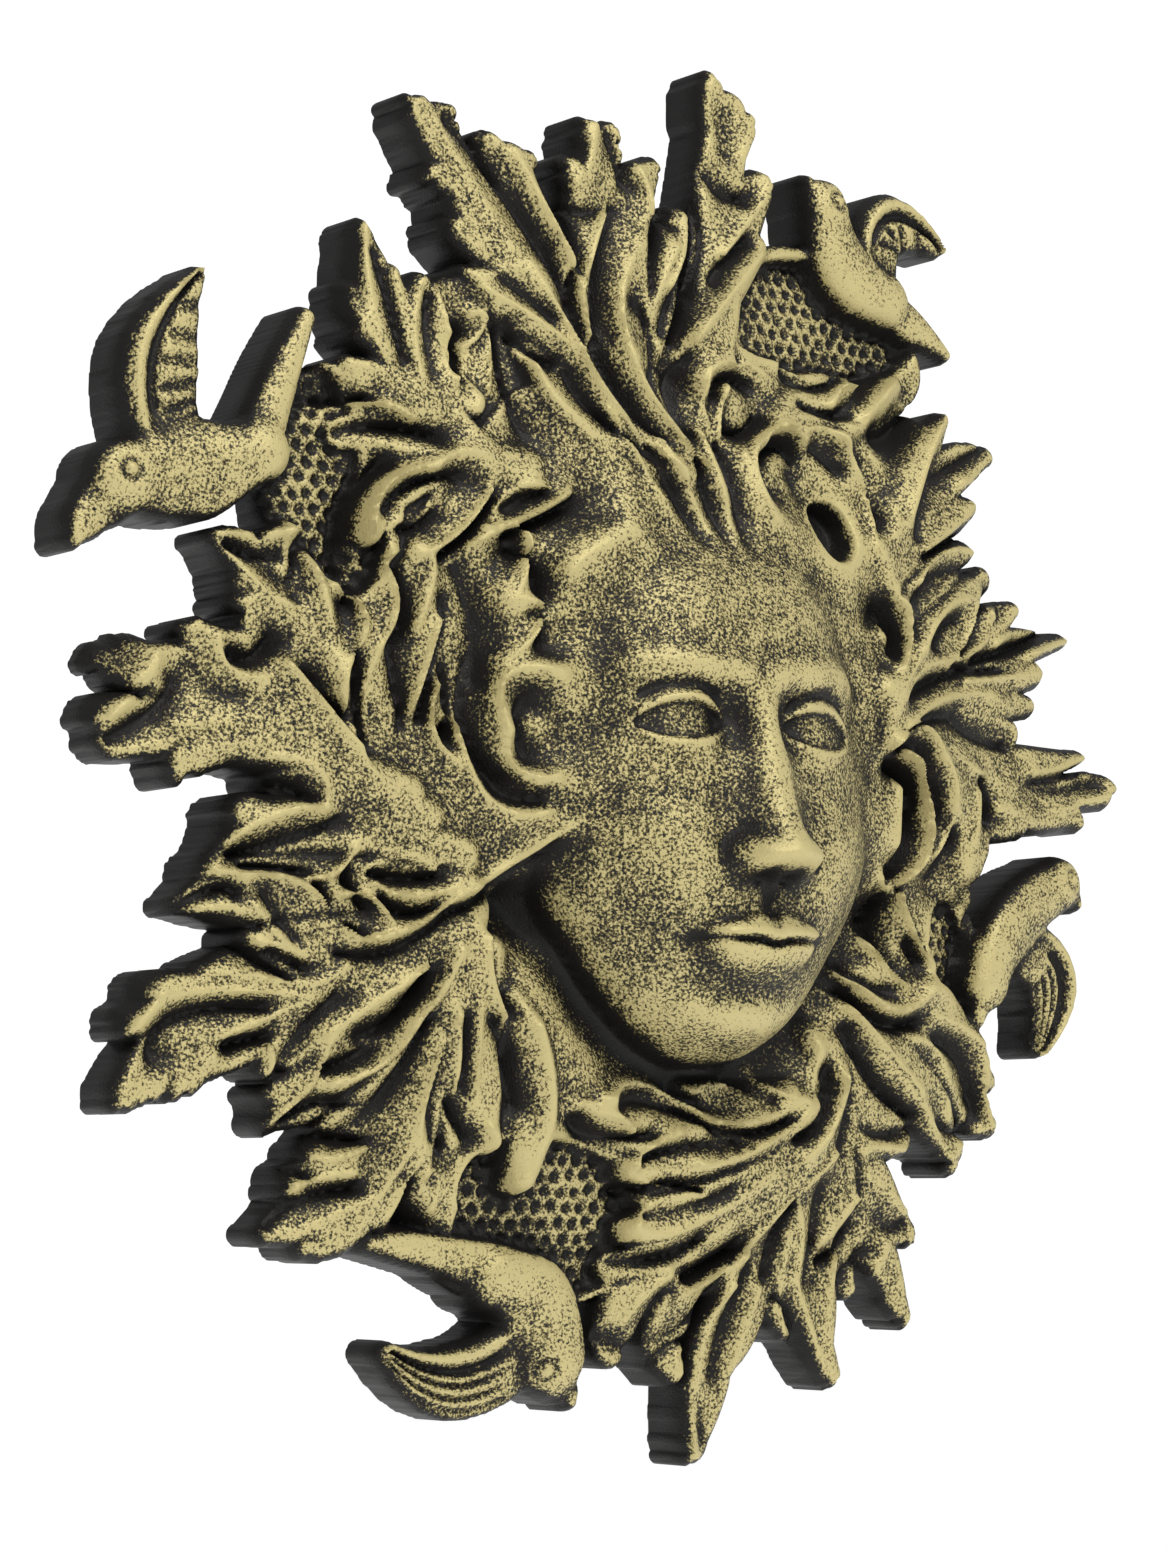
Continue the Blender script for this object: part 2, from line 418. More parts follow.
        [-62.5, 20.5, -65.5, 4.5, -57.5, -9.5, -3.0, -3.0],
        [-57.5, -9.5, -54.5, -12.5, -48.5, -13.5, -2.5, -1.5],
        [-43.5, 16.5, -57.5, 15.5, -57.5, 2.5, 3.0, 3.5],
        [-57.5, 2.5, -55.5, -6.5, -44.5, -8.5, 3.5, 3.0],
        [-50.5, 9.5, -52.5, 4.5, -50.5, -2.5, -3.0, -3.0],
        [-94, 18.5, -93, 8.5, -92, -3.5, -2.5, -2.0],
        [-86, -13.5, -77.5, -16.5, -69.5, -19.5, 1.5, 1.5],
    ],
    "west": [
        [-143, 13.5, -148, 5.5, -160, -3.5, 1.5, 1.5],
        [-137, 9.5, -142, 2.5, -153, -4.5, -2.5, -2.5],
        [-137, -0.5, -125, 0, -113, -2.5, 0.8, 1.2],
        [-138, -9, -128, -5, -116.5, -3, 1.2, 1.6],
        [-127.5, 19.5, -125, 13, -117, 11, 1.0, 1.0],
        [-134, 13.5, -130.5, 9.5, -123.5, 7, -1.5, -1.0],
        [-111, 14.5, -102, 4.5, -95, -3.5, 2.0, 2.8],
        [-95, -3.5, -92, -9.5, -84.5, -13.5, 2.8, 2.0],
        [-106, 12.5, -101, 6.5, -96, 3.5, -3.5, -4.0],
        [-123, 16, -118, 16, -113.5, 20, -4.0, -4.0],
        [-115.5, -6.5, -105, -9.5, -103, -17.5, 1.8, 2.2],
        [-114.5, -12.5, -109.5, -13.5, -106, -15.5, -3.5, -2.5],
    ],
    "cheek": [
        [-104, -17.5, -113.5, -19.5, -125.5, -26, 2.2, 1.6],
        [-123, -29, -111.5, -25.5, -98, -20.5, -3.5, -2.5],
        [-121, -31.5, -113, -31.5, -105.5, -32.5, -3.0, -3.0],
        [-140, -40, -132, -34, -121, -33.5, 1.5, 2.0],
        [-121, -33.5, -107, -35.5, -94, -47, 2.2, 2.8],
        [-135, -41, -127.5, -37, -122, -37.5, -2.5, -2.5],
        [-131, -42, -125.5, -41, -121, -41.5, 0.8, 0.8],
        [-115.5, -37.5, -112, -42.5, -108, -47.5, -1.8, -1.5],
        [-118, -40.5, -113.5, -45.5, -109, -49.5, 1.0, 1.0],
        [-103.5, -35.5, -99, -41.5, -93, -46, -3.5, -4.0],
        [-105.5, -33.5, -100, -32.5, -95, -27.5, 1.5, 2.0],
        [-96, -31.5, -95, -35.5, -91, -39.5, -4.5, -3.5],
        [-99, -37.5, -91, -37.5, -86, -43.5, 2.0, 2.0],
        [-91, -30.5, -84, -28.5, -74.5, -30.5, 1.0, 1.5],
        [-90, -32, -81.5, -33, -73.5, -32, -3.5, -3.0],
        [-90, -34.5, -82, -37, -69.5, -34.5, 1.5, 2.0],
        [-88, -38, -81, -41, -74.5, -39.5, -2.5, -2.5],
        [-41.5, -19.5, -54.5, -29.5, -69.5, -36.5, 2.5, 3.0],
        [-69.5, -36.5, -82, -44.5, -94, -47, 3.0, 2.8],
        [-43.5, -24.5, -56.5, -34.5, -70.5, -40.5, -3.0, -3.0],
        [-70.5, -40.5, -83, -49, -97.5, -50.5, -3.0, -2.0],
    ],
    "low": [
        [-125.5, -46.5, -117, -51.5, -109.5, -56, -4.0, -3.0],
        [-117, -48.5, -111.5, -49.5, -106, -51.5, 1.0, 1.0],
        [-114, -50.5, -109.5, -52, -105, -54, -2.5, -2.0],
        [-130, -56.5, -120.5, -56, -107.5, -57.5, 1.2, 1.6],
        [-107.5, -57.5, -100.5, -56.5, -95.5, -53, 1.6, 1.0],
        [-156, -70.5, -147, -67.5, -142, -61.5, 1.8, 2.0],
        [-142, -61.5, -124, -59.5, -104, -60.5, 2.0, 1.6],
        [-141, -73.5, -134.5, -65.5, -114.5, -63, -3.0, -2.0],
        [-141, -81.5, -133.5, -80.5, -126.5, -74.5, 0.8, 1.0],
        [-124, -69.5, -116.5, -66.5, -105.5, -61.5, 1.5, 1.2],
        [-122, -71.5, -117, -70.5, -112.5, -69.5, -4.0, -3.5],
        [-112.5, -72.5, -112, -76.5, -114, -80.5, 1.2, 1.0],
        [-110, -77.5, -105, -68.5, -97, -60.5, -1.5, -2.0],
        [-110.5, -88, -102, -79.5, -99, -69.5, 1.5, 2.0],
        [-99, -69.5, -94, -65, -75.5, -53, 2.0, 2.2],
        [-99.5, -76.5, -93, -75, -88, -72, -3.5, -3.0],
        [-89.5, -69, -81, -64, -74.5, -54, -3.0, -5.5],
        [-98, -80, -86, -76, -78, -66, 1.5, 2.2],
        [-78, -66, -72.5, -59, -67.5, -49, 2.2, 2.0],
        [-107, -88, -98, -84, -88, -85, -4.0, -2.5],
        [-108.5, -92, -99, -91.5, -87, -93, -5.5, -5.0],
    ],
    "south": [
        [-105.5, -95, -98, -97, -87, -94, 1.2, 1.6],
        [-109.5, -97, -105.5, -99, -101.5, -101, -4.5, -2.5],
        [-113.5, -113, -106.5, -104, -90.5, -100, 1.2, 1.8],
        [-110.5, -112, -101.5, -106, -89, -103.5, -1.5, -2.8],
        [-105.5, -115, -95.5, -110, -86, -106, 1.0, 1.5],
        [-89.5, -113, -82, -102, -75.5, -92, 1.5, 2.2],
        [-75.5, -92, -74, -80, -67.5, -64, 2.2, 2.6],
        [-92, -91, -83, -82, -74, -65, -3.0, -3.0],
        [-81, -112, -77, -103, -73.5, -94, 0.8, 1.8],
        [-68.5, -62, -66.5, -72, -67, -82, 1.6, 1.4],
        [-71, -92, -72, -80, -69.5, -68, -1.5, -1.5],
        [-61.5, -62, -61.5, -76, -61, -89, 1.2, 1.6],
        [-64.5, -64, -64.5, -74, -65, -80, -1.5, -1.5],
        [-67, -83, -65, -87, -62, -91, -3.5, -3.0],
        [-73.5, -101, -68.5, -100, -68.5, -108, 2.0, 2.0],
        [-75.5, -102, -75, -108, -72.5, -112, -4.5, -5.5],
        [-57, -90, -54, -94, -56.5, -98, 2.2, 2.2],
        [-56.5, -65, -51.5, -73, -48.5, -84, -3.0, -3.5],
        [-38.5, -91, -38.5, -99, -47.5, -105, 2.2, 2.2],
        [-47.5, -105, -51.5, -103, -50, -97, 2.0, 1.0],
        [-44.5, -66, -41.5, -78, -39.5, -90, 1.5, 1.8],
        [-48.5, -35.5, -54.5, -47.5, -51.5, -62, -7.0, -6.0],
        [-59.5, -45.5, -59.5, -54, -54.5, -64, 2.0, 1.5],
    ],
    "chin": [
        [-22.5, -82, -8.5, -78.5, 7.5, -87, 1.8, 1.8],
        [7.5, -87, 21, -87.5, 33, -83, 1.6, 1.6],
        [-18.5, -84, -5.5, -83.5, 11.5, -90, -4.0, -3.5],
        [11.5, -90, 22.5, -90, 32, -87, -2.5, -2.0],
        [5.5, -80, 15, -78, 30, -83, 1.6, 1.6],
        [0.5, -81, 6.5, -84, 12.5, -85, -2.5, -1.0],
        [18, -78, 23, -80, 28, -82, -3.5, -3.0],
        [24, -75, 29, -80, 36, -82, 2.0, 2.2],
        [-32.5, -84, -25.5, -84, -16.5, -90, 1.8, 1.6],
        [-30.5, -87, -23.5, -91, -9.5, -91, -4.0, -3.5],
        [-14.5, -98, -9.5, -93, -1.5, -90, 1.5, 1.0],
        [-11.5, -97, -1.5, -94, 17.5, -92, -3.0, -2.5],
        [4.5, -98, 18.5, -95, 37, -85, 1.5, 2.5],
        [-15.5, -101, 4.5, -103, 20.5, -98, 1.6, 1.0],
        [-14.5, -104, -3.5, -102.5, 5.5, -104, -4.0, -2.5],
        [-12.5, -112, -5.5, -106, 6.5, -105, 1.8, 1.5],
        [-10.5, -116, 4.5, -112, 28.5, -100, 1.5, 1.8],
        [-9.5, -110, 2.5, -108, 14.5, -104, -1.2, -1.0],
        [-15.5, -121, -1, -119.5, 7.5, -116, -3.5, -3.0],
        [7.5, -117, 14.5, -113, 24.5, -107, 1.0, 1.0],
        [22.5, -119, 29.5, -111, 49.5, -95, 2.0, 2.2],
        [7, -125, 14.5, -121.5, 21, -118, -4.5, -5.0],
        [6.5, -128, 16, -124, 23.5, -120, 1.5, 1.5],
        [42, -68, 40, -80, 34, -89, 2.0, 2.4],
        [51, -76, 48, -87, 38.5, -96, 2.0, 2.2],
        [47, -74, 44, -86, 35.5, -91, -3.0, -3.0],
        [56, -72, 55, -86, 52.5, -94, -2.0, -2.5],
    ],
    "root": [
        [11, -168, 11, -162, 9, -154.5, 1.5, 0.8],
        [5, -166, 4, -158.5, 4.5, -153.5, -1.5, -1.5],
        [15.5, -164, 14, -158.5, 13.5, -152.5, -1.2, 0.0],
        [-3.5, -150.5, 2.5, -152, 9.5, -150.5, 1.5, 1.5],
        [0, -147.5, 1.5, -142.5, 9, -139.5, -2.5, -2.5],
        [-1, -139.5, 7.5, -136.5, 14, -129, -2.0, -3.0],
        [7, -147.5, 12, -137.5, 20.5, -127, 1.5, 1.8],
        [17.5, -148.5, 20, -136.5, 26, -122, -1.5, -2.5],
        [-12.5, -134.5, -7.5, -129, 0, -124, 1.2, 1.4],
        [-18, -138.5, -11.5, -140.5, -6.5, -143.5, -2.0, -2.0],
        [-4.5, -136.5, -2, -130, 2.5, -128, -2.0, -1.5],
        [22.5, -146.5, 25.5, -137.5, 29, -128, 1.0, 1.2],
        [54.5, -146.5, 53, -132.5, 54, -119, 1.2, 1.8],
        [46, -146.5, 43, -137.5, 35.5, -130, -2.5, -2.5],
        [52.5, -148.5, 47.5, -138.5, 40.5, -126, 1.5, 1.5],
        [40, -140.5, 36.5, -130, 36.5, -116, 0.8, 1.0],
        [31.5, -125, 33, -115, 36.5, -107, -2.5, -2.5],
        [40.5, -126, 40.5, -115, 35.5, -103, 1.5, 1.8],
        [45.5, -126, 46, -114, 47.5, -104, -1.5, -2.0],
        [47.5, -117, 54, -112, 60, -106, 1.5, 1.8],
        [50, -121, 55, -118, 60.5, -112, -3.0, -3.5],
    ],
    "keel": [
        [65, -128.5, 69, -124, 72.5, -118, 1.6, 1.6],
        [58.5, -126, 62, -122, 66, -119, -2.5, -2.0],
        [74.5, -136.5, 78.5, -130.5, 75.5, -122, 1.0, 1.4],
        [68.5, -111, 74, -113, 79.5, -112, -1.2, -1.8],
        [63, -100, 73, -105, 80, -109, 0.8, 1.0],
        [60.5, -88, 68.5, -90, 79.5, -88, -2.0, -2.5],
        [60.5, -95, 66.5, -93, 76, -94, 1.0, 1.0],
        [65, -70, 74, -77, 83.5, -85, 0.5, 1.5],
        [60.5, -112, 61.5, -104, 58.5, -94, -1.2, -1.2],
    ],
    "stems": [
        [-12, 76, -3, 61, 5, 46, 2.5, 0.5],
        [-19, 80, -8, 63, 1, 47, -2.5, -0.3],
        [-26, 82, -14, 64, -4, 48, 2.2, 0.4],
        [-3, 78, 3, 62, 7, 47, -3, -0.3],
        [3, 80, 7, 63, 9, 46, 2.6, 0.5],
        [9, 78, 12, 62, 12, 46, -2.5, -0.3],
        [16, 76, 18, 62, 15, 46, 2.4, 0.4],
    ],
}
grounds = [  # ovals that make the body of the plaque: middle, half width, half height
    [2.5, -1.5, 92, 104],
    [-94, 8.5, 19, 38],
    [-96, 59, 17, 28],
    [50, 113.5, 38, 22],
    [-37, -108, 38, 24],
    [83, -41.5, 20, 28],
    [2.5, -100, 70, 30],
    [-94, -39.5, 22, 40],
    [63, 71, 34, 34],
    [76, 108, 14, 12],
    [-58, -112, 30, 10],
    [-63, 103, 9, 9],
]
nets = [  # ovals of netted ground
    [-103, 62, 15, 26],
    [-93, 48, 8, 16],
    [54.5, 116.5, 33, 16],
    [32.5, 113, 18, 10],
    [-35, -112, 26, 20],
    [-47.5, -104, 14, 12],
    [92, -45, 9, 15],
]
hollows = [  # deep hollows: middle, half width, half height, depth
    [47, 60, 6, 7.5, 8],
    [-64, 92, 2.6, 6, 3],
]
facets = [  # chiselled tips: the ridge, then slope and drop on its left side
    [-156.5, -3, -141, 17.5, 0.95, 8],
    [-149, -72, -140, -60, 0.8, 5],
    [-87.5, 104, -88.2, 123, 0.9, 4],
]
birds = {  # limbs as the lobes are; head and eye: middle and radius
    "dove1": {
        "body": [-117, 64, -132, 58.3, -147, 55, 6.5, 10.6, 8],
        "head": [-151, 54, 7.8],
        "beak": [-154, 50, -159.5, 44.5, -163, 39, 6, 4.2, 1.0],
        "eye": [-151.5, 55.5],
        "tail": [-118, 62, -110.8, 80, -103.5, 96.5, 4.8, 3.4, 1.6],
        "wing": [-138.5, 64, -140.8, 82, -131.6, 102.5, 9, 9.4, 1.2],
        "lead": 1,
        "feathers": 6,
        "sweep": 0.5,
        "grooves": [],
        "lift": 2,
    },
    "dove2": {
        "body": [76, 125.5, 63, 131, 56.5, 143, 6, 8, 6.6],
        "head": [55.5, 147, 6],
        "beak": [55, 147, 52, 150.5, 50.5, 152.5, 4, 3, 1],
        "eye": [57.5, 148],
        "tail": [70, 128, 84, 121.5, 97, 113.5, 6, 3.8, 0.9],
        "wing": [74, 133.5, 79.5, 145.5, 95.5, 141.5, 7, 7.6, 0.9],
        "lead": 1,
        "feathers": 5,
        "sweep": 0.5,
        "grooves": [],
        "lift": 2,
    },
    "dove3": {
        "body": [106, -51, 115, -36, 133, -25, 6, 8, 6.4],
        "head": [135.5, -23.5, 6],
        "beak": [137, -24, 140.5, -26.5, 142.5, -28.5, 4, 3, 1],
        "eye": [137, -22.5],
        "tail": [108, -46, 105, -53, 102.5, -60.5, 4.5, 3.6, 1.2],
        "wing": [126, -42, 134.5, -50, 129.5, -66.5, 7.5, 8.2, 1.5],
        "lead": 1,
        "feathers": 0,
        "sweep": 0,
        "grooves": [-0.75, -0.45, -0.12],
        "lift": 2,
    },
    "dove4": {
        "body": [-50, -125, -38.5, -130.5, -31, -142.5, 6, 9.3, 7.4],
        "head": [-32, -144.5, 7.2],
        "beak": [-31, -148, -27.5, -151, -26, -153.5, 4.5, 3.4, 1.2],
        "eye": [-36, -146],
        "tail": [-46, -124.5, -62, -119.5, -84, -116.2, 5.5, 3.4, 1.2],
        "wing": [-38, -139, -57, -148, -77, -141.5, 8.5, 7.8, 1.8],
        "lead": -1,
        "feathers": 0,
        "sweep": 0,
        "grooves": [-0.75, -0.45, -0.12],
        "lift": 2,
    },
}
slit = [38, 142, 1.9, 5]


def ease(t):  # 3t^2 - 2t^3 between 0 and 1
    t = np.clip(t, 0, 1)
    return t * t * (3 - 2 * t)


def bell(t):  # e to the power of minus t squared
    return np.exp(-t * t)


def slabDepth(x, z):  # tip depth plus a gain that eases in from the outer ring to the middle
    reach = np.hypot(x / plaque["oval"], z)
    return plaque["tipDepth"] + plaque["innerGain"] * ease((plaque["gainFrom"] - reach) / plaque["gainOver"])


def curve(start, bend, end, steps):  # (1-t)^2 start + 2t(1-t) control + t^2 end, through bend at t = 1/2
    start, bend, end = np.array(start), np.array(bend), np.array(end)
    t = np.linspace(0, 1, steps + 1)[:, None]
    return (1 - t) ** 2 * start + 2 * t * (1 - t) * (2 * bend - (start + end) / 2) + t * t * end


def nearest(x, z, path):  # least distance to the path's segments, share of the way along, side of the path
    away = np.full(x.shape, 1e9)
    share = np.zeros(x.shape)
    side = np.zeros(x.shape)
    for k in range(len(path) - 1):
        ex, ez = path[k + 1] - path[k]
        dx, dz = x - path[k][0], z - path[k][1]
        u = np.clip((dx * ex + dz * ez) / (ex * ex + ez * ez + 1e-9), 0, 1)
        d = np.hypot(dx - u * ex, dz - u * ez)
        closer = d < away
        away = np.where(closer, d, away)
        share = np.where(closer, (k + u) / (len(path) - 1), share)
        side = np.where(closer, np.sign(ex * dz - ez * dx), side)
    return away, share, side


def windowOf(path, margin):  # the part of the grid within margin of the path
    step = plaque["gridStep"]
    lowX, lowZ = path.min(0) - margin
    highX, highZ = path.max(0) + margin
    i0, i1 = int((lowX - plaque["left"]) / step), int((highX - plaque["left"]) / step) + 2
    j0, j1 = int((lowZ - plaque["low"]) / step), int((highZ - plaque["low"]) / step) + 2
    return slice(max(j0, 0), max(j1, 0)), slice(max(i0, 0), max(i1, 0))


def lobeWidth(t, w0, w1, tip):  # eases from w0 to w1 over the first 0.6, then closes to tip as a power curve
    late = (np.clip(t, 0.6, 1) - 0.6) / 0.4
    return np.where(t < 0.6, w0 + (w1 - w0) * ease(t / 0.6), w1 + (tip - w1) * late ** 1.6)


def limbWidth(t, w0, w1, tip):  # as a lobe, but widest half-way
    late = (np.clip(t, 0.5, 1) - 0.5) / 0.5
    return np.where(t < 0.5, w0 + (w1 - w0) * ease(t / 0.5), w1 + (tip - w1) * late ** 1.5)


def ovalAway(x, z, oval):  # share of the oval's radius
    cx, cz, rx, rz = oval[:4]
    return np.hypot((x - cx) / rx, (z - cz) / rz)


def softMax(a, b, k):  # the larger of two heights with the corner between them rounded over k
    h = np.clip(0.5 + 0.5 * (a - b) / k, 0, 1)
    return b + (a - b) * h + k * h * (1 - h)


def foldField(x, z, inside):
    # every fold line pulls the surface to its own height with weight 1 / distance^power; the rim pulls up a little
    power, rest = plaque["foldPower"], plaque["foldRest"]
    total = np.zeros(x.shape)
    weight = np.full(x.shape, rest ** -power)
    for lines in folds.values():
        for line in lines:
            path = curve(line[0:2], line[2:4], line[4:6], plaque["curveSteps"])
            w = windowOf(path, plaque["foldReach"])
            away, share, _ = nearest(x[w], z[w], path)
            pull = (away + plaque["foldCore"]) ** -power * (1 - ease(away / plaque["foldReach"]))
            total[w] += (line[6] + (line[7] - line[6]) * share) * plaque["foldGain"] * pull
            weight[w] += pull
    rim = (np.clip(inside, 0, 99) + 0.7) ** -power
    return (total + plaque["rimLift"] * rim) / (weight + rim)


def headHeight(x, z):
    # an egg on textbook thirds: a dome of a rounded oval, and bells added and taken for each feature
    third = (head["up"] + head["down"]) / 3
    x, dz = x - head["x"], z - head["z"]
    a = np.abs(x)
    hw = head["halfWidth"]
    brow = head["z"] + head["up"] - third
    nose, chin = brow - third, brow - 2 * third
    eyeWide = hw * 0.4
    eye, mouth = brow - 0.24 * third, nose - 0.36 * third
    jaw = 1 - 0.30 * ease((nose + 8 - z) / (nose + 8 - chin))
    v = np.where(dz > 0, (np.abs(dz) / head["up"]) ** 2.15, (np.abs(dz) / head["down"]) ** 4)
    rho = ((a / (hw * jaw)) ** 2.15 + v) ** (1 / 2.15)
    dome = np.clip(1 - rho ** 2.1, 0, 1)
    skirt = np.clip(rho - 1, 0, 9) * 55
    f = np.zeros(x.shape)

    def spot(p, sp, q, sq):  # a bell in two directions
        return np.exp(-(p / sp) ** 2 - (q / sq) ** 2)

    # forehead and temples
    f -= 2.2 * spot(a - hw * 0.80, hw * 0.2, z - brow - 4, third * 0.45)
    f += 1.2 * spot(a - hw * 0.33, hw * 0.22, z - brow - third * 0.45, third * 0.25)
    # brows
    arch = brow + 0.6 + 3.4 * bell((a - eyeWide * 1.15) / (eyeWide * 0.8)) - 2.2 * ease((a - eyeWide * 1.45) / (eyeWide * 0.8))
    f += 2.3 * bell((z - arch) / 4.2) * ease((a + 1) / 9) * ease((eyeWide * 2.1 - a) / 12)
    # sockets, deeper by the nose, then eyeballs and lids
    f -= 5.8 * spot(a - eyeWide * 1.02, eyeWide * 0.66, z - eye - 1.2, third * 0.17)
    f -= 3.8 * spot(a - eyeWide * 0.46, eyeWide * 0.26, z - eye - 1.5, third * 0.17)
    f += 6.6 * spot(a - eyeWide * 1.02, eyeWide * 0.60, z - eye - 0.3, eyeWide * 0.40)
    d = (a - eyeWide * 1.02) / (eyeWide * 0.58)
    q = np.clip(1 - d * d, 0, 1)
    upper = eye + 0.4 + eyeWide * 0.235 * q ** 0.85 - 0.5 * d
    lower = eye - 0.3 - eyeWide * 0.165 * q - 0.5 * d
    slot = ease((upper - z) / 1.1 + 0.5) * ease((z - lower) / 1.1 + 0.5) * ease(q * 9)
    f -= 1.35 * slot
    f += 0.9 * bell((z - upper - 1.2) / 1.2) * ease(q * 4)
    f += 0.5 * bell((z - lower + 1.1) / 1.1) * ease(q * 4)
    f -= 1.5 * bell((z - upper - 4.4 - 0.8 * d) / 1.4) * ease(q * 2.2)
    f += 0.9 * spot(a - eyeWide * 0.42, 1.6, z - eye + 0.4, 1.5)
    # cheekbones with a hollow under them
    f += 3.4 * spot(a - eyeWide * 1.3, eyeWide * 0.8, z - nose - third * 0.14, third * 0.3)
    f -= 0.7 * spot(a - eyeWide * 1.45, eyeWide * 0.5, z - mouth - 1, third * 0.22)
    f += 2.2 * spot(a - eyeWide * 1.0, eyeWide * 0.55, z - nose + 2, third * 0.3)
    # nose: bridge, ball, wings and nostrils
    t = np.clip((brow - 1 - z) / (brow - 1 - nose), 0, 1)
    half = 6.3 - 0.7 * bell((t - 0.2) / 0.18) + 2.6 * t ** 2
    high = 2.6 + 11.6 * t ** 1.2
    end = np.where(z < nose + 4.6, np.exp(-(np.clip(nose + 4.6 - z, 0, 99) / 5.0) ** 2.4), 1.0)
    root = ease((brow + 9 - z) / 15)
    f += high * root * end * np.exp(-np.abs(x / half) ** 2.4)
    f += 2.6 * spot(a - half - 2.5, 4.6, z - (brow + nose) / 2, third * 0.42) * root * end * t
    f += 2.6 * spot(x, 6.2, z - nose - 4.6, 5.2)
    f += 5.0 * spot(a - eyeWide * 0.40, 4.0, z - nose - 3.4, 4.8)
    ring = np.hypot((a - eyeWide * 0.40) / 6.4, (z - nose - 3.8) / 6.2) - 1
    f -= 1.0 * bell(ring / 0.22) * ease((a - 6.2) / 3) * ease((z - nose + 1) / 3)
    f -= 3.0 * spot(a - 3.9, 2.1, z - nose + 1.2, 1.5)
    # muzzle, lips, the groove over the lip, the hollow under it and the chin
    m = eyeWide * 0.92
    u = np.clip(a / m, 0, 1)
    f += 4.6 * spot(x, m * 1.2, z - mouth - 0.5, third * 0.34)
    top = mouth + 5.6 - 4.6 * u ** 1.5 - 1.3 * bell(x / 2.6)
    line = mouth + 0.2 - 0.9 * bell(x / 3.2) + 0.8 * u ** 2
    bottom = mouth - 7.6 + 6.8 * u ** 2.2
    f += 3.9 * bell((z - (top + line) / 2) / (np.maximum((top - line) / 2, 0.5) + 0.9)) * ease((1 - u) * 3.2)
    f += 4.0 * bell((z - (bottom + line) / 2) / (np.maximum((line - bottom) / 2, 0.5) + 1.0)) * ease((1 - u) * 2.6)
    f -= 2.3 * bell((z - line) / 0.95) * ease((1.06 - a / m) * 5)
    f += 0.5 * bell((z - top - 0.6) / 0.8) * ease((1 - u) * 3)
    f -= 0.9 * spot(x, 2.1, z - (mouth + nose) / 2 - 1.5, 3.6)
    f += 0.4 * spot(a - 3.6, 1.5, z - (mouth + nose) / 2 - 1.5, 3.6)
    f -= 1.1 * spot(a - m * 1.07, 2.6, z - mouth - 0.2, 2.8)
    f -= 1.7 * spot(x, m * 0.7, z - mouth + third * 0.27, third * 0.08)
    f += 4.4 * spot(x, third * 0.36, z - chin - third * 0.22, third * 0.2)
    return head["rim"] + head["dome"] * dome ** (0.52 - 0.1 * ease((mouth - z) / 20)) - skirt + f * ease(dome * 2.6), rho


def addBird(x, z, slab, inside, height, bird):
    # rounded limbs, each with an ellipse for its cross-section, blended into one body; grooves are cut into the wing
    top = np.full(x.shape, -99.0)
    def limb(part, rise, soft):
        path = curve(part[0:2], part[2:4], part[4:6], plaque["curveSteps"])
        w = windowOf(path, part[7] + 8)
        away, share, side = nearest(x[w], z[w], path)
        wide = limbWidth(share, *part[6:9]) + plaque["sideDraft"]
        depth = wide - away
        inside[w] = np.maximum(inside[w], depth)
        crown = rise * np.sqrt(np.clip(1 - (away / wide) ** 2, 0, 1))
        form = slab[w] - 3 + bird["lift"] + np.where(depth > 0, crown, depth * 3)
        top[w] = np.where(depth > -5, softMax(form, top[w], soft), top[w])
        return w, away / wide, share, side
    w, across, share, side = limb(bird["wing"], 2.4, 0.5)
    u = across * side * bird["lead"]  # 1 at the leading edge, -1 at the trailing edge
    on = ease((1 - across) / 0.15)
    cut = 1.9 * bell((u - 0.62) / 0.2) - 2.0 * bell((u - 0.24) / 0.13) * ease((share - 0.1) / 0.15)
    rows = (0.5 + 0.5 * np.cos(2 * np.pi * (share * bird["feathers"] + u * bird["sweep"]))) ** 2
    cut -= 1.2 * rows * ease((0.12 - u) / 0.15) * ease((share - 0.12) / 0.1) * (bird["feathers"] > 0)
    for groove in bird["grooves"]:
        cut -= 1.5 * bell((u - groove) / 0.09) * ease((share - 0.16) / 0.2)
    top[w] += cut * on
    limb(bird["tail"], 3.4, 1.5)
    limb(bird["beak"], 3.6, 1.5)
    limb(bird["body"], 6.4, 2.5)
    hx, hz, hr = bird["head"]
    limb([hx - 0.1, hz, hx, hz, hx + 0.1, hz, hr, hr, hr], 6.8, 2.5)
    ring = np.hypot(x - bird["eye"][0], z - bird["eye"][1])
    top += 0.7 * bell(ring / 1.1) - 0.9 * bell((ring - 2.3) / 0.8)
    height[:] = np.where(top > -50, softMax(top, height, 0.8), height)


def netPits(x, z):
    # nearest point of a wandering hexagonal lattice, then a round pit there
    pitch = net["pitch"]
    rise = pitch * 0.866
    best = np.full(x.shape, 1e9)
    for part in (0, 1):
        row = 2 * np.round((z / rise - part) / 2) + part
        col = np.round(x / pitch - part / 2) + part / 2
        hop = np.sin(row * 12.9898 + col * 78.233) * 43758.5453
        hop2 = np.sin(row * 39.425 + col * 11.135) * 24634.6345
        px = col * pitch + net["wander"] * (hop - np.floor(hop) - 0.5) * 2
        pz = row * rise + net["wander"] * (hop2 - np.floor(hop2) - 0.5) * 2
        best = np.minimum(best, np.hypot(x - px, z - pz))
    return -net["depth"] * bell((best / net["radius"]) ** 1.6)


